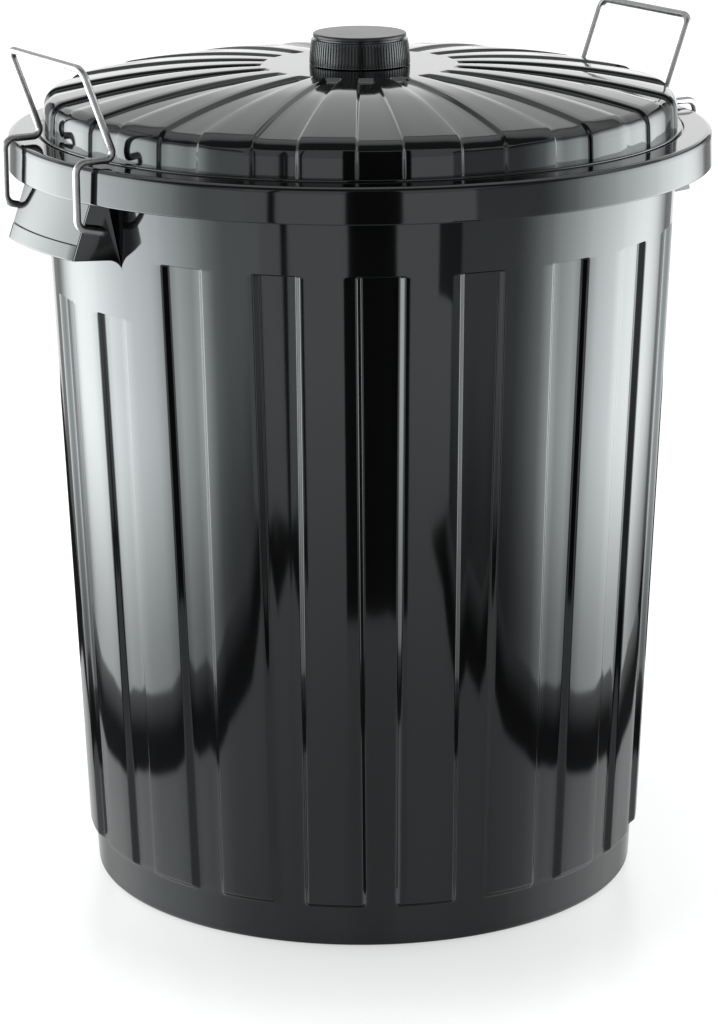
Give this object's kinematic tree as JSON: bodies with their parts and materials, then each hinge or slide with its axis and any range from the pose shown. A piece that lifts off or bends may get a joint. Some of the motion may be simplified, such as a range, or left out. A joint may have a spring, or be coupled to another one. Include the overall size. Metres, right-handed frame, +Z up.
{
  "type": "trash can with lid",
  "caption": "Round tapered plastic bin with ribbed wall, wide rim, bracket handles, a stepped domed lid with a ribbed screw cap, and wire clamps that hold the lid.",
  "frame": {"origin": "middle of the base on the floor", "axes": "+Z up along the bin's axis, the two handles along X"},
  "size_m": [0.5182, 0.5, 0.6135],
  "materials": {
    "black_plastic": "glossy moulded",
    "cap_plastic": "satin moulded",
    "liner": "foamed sheet",
    "steel_wire": "drawn and zinc plated"
  },
  "bodies": {
    "tub": {"tub": "black_plastic"},
    "lid": {"lid": "black_plastic"},
    "liner": {"cap_liner": "liner"},
    "cap": {"cap": "cap_plastic"},
    "clamp_left": {"clamp_left": "steel_wire"},
    "clamp_right": {"clamp_right": "steel_wire"}
  },
  "joints": [
    {"name": "lid_lift", "type": "slide", "parent": "tub", "child": "lid", "axis": [0, 0, 1], "range_m": [0, 0.3]},
    {"name": "cap_lift", "type": "slide", "parent": "lid", "child": "liner", "axis": [0, 0, 1], "range_m": [0, 0.0091]},
    {"name": "cap_turn", "type": "hinge", "parent": "liner", "child": "cap", "pos_m": [0, 0, 0.59], "axis": [0, 0, 1], "range_deg": [0, 540]},
    {"name": "clamp_left_swing", "type": "hinge", "parent": "tub", "child": "clamp_left", "pos_m": [-0.2295, 0, 0.5], "axis": [0, -1, 0], "range_deg": [0, 130]},
    {"name": "clamp_right_swing", "type": "hinge", "parent": "tub", "child": "clamp_right", "pos_m": [0.2295, 0, 0.5], "axis": [0, 1, 0], "range_deg": [0, 130]}
  ],
  "couplings": [
    {"joint": "cap_lift", "follows": "cap_turn", "m_per_rad": 0.00095493}
  ]
}
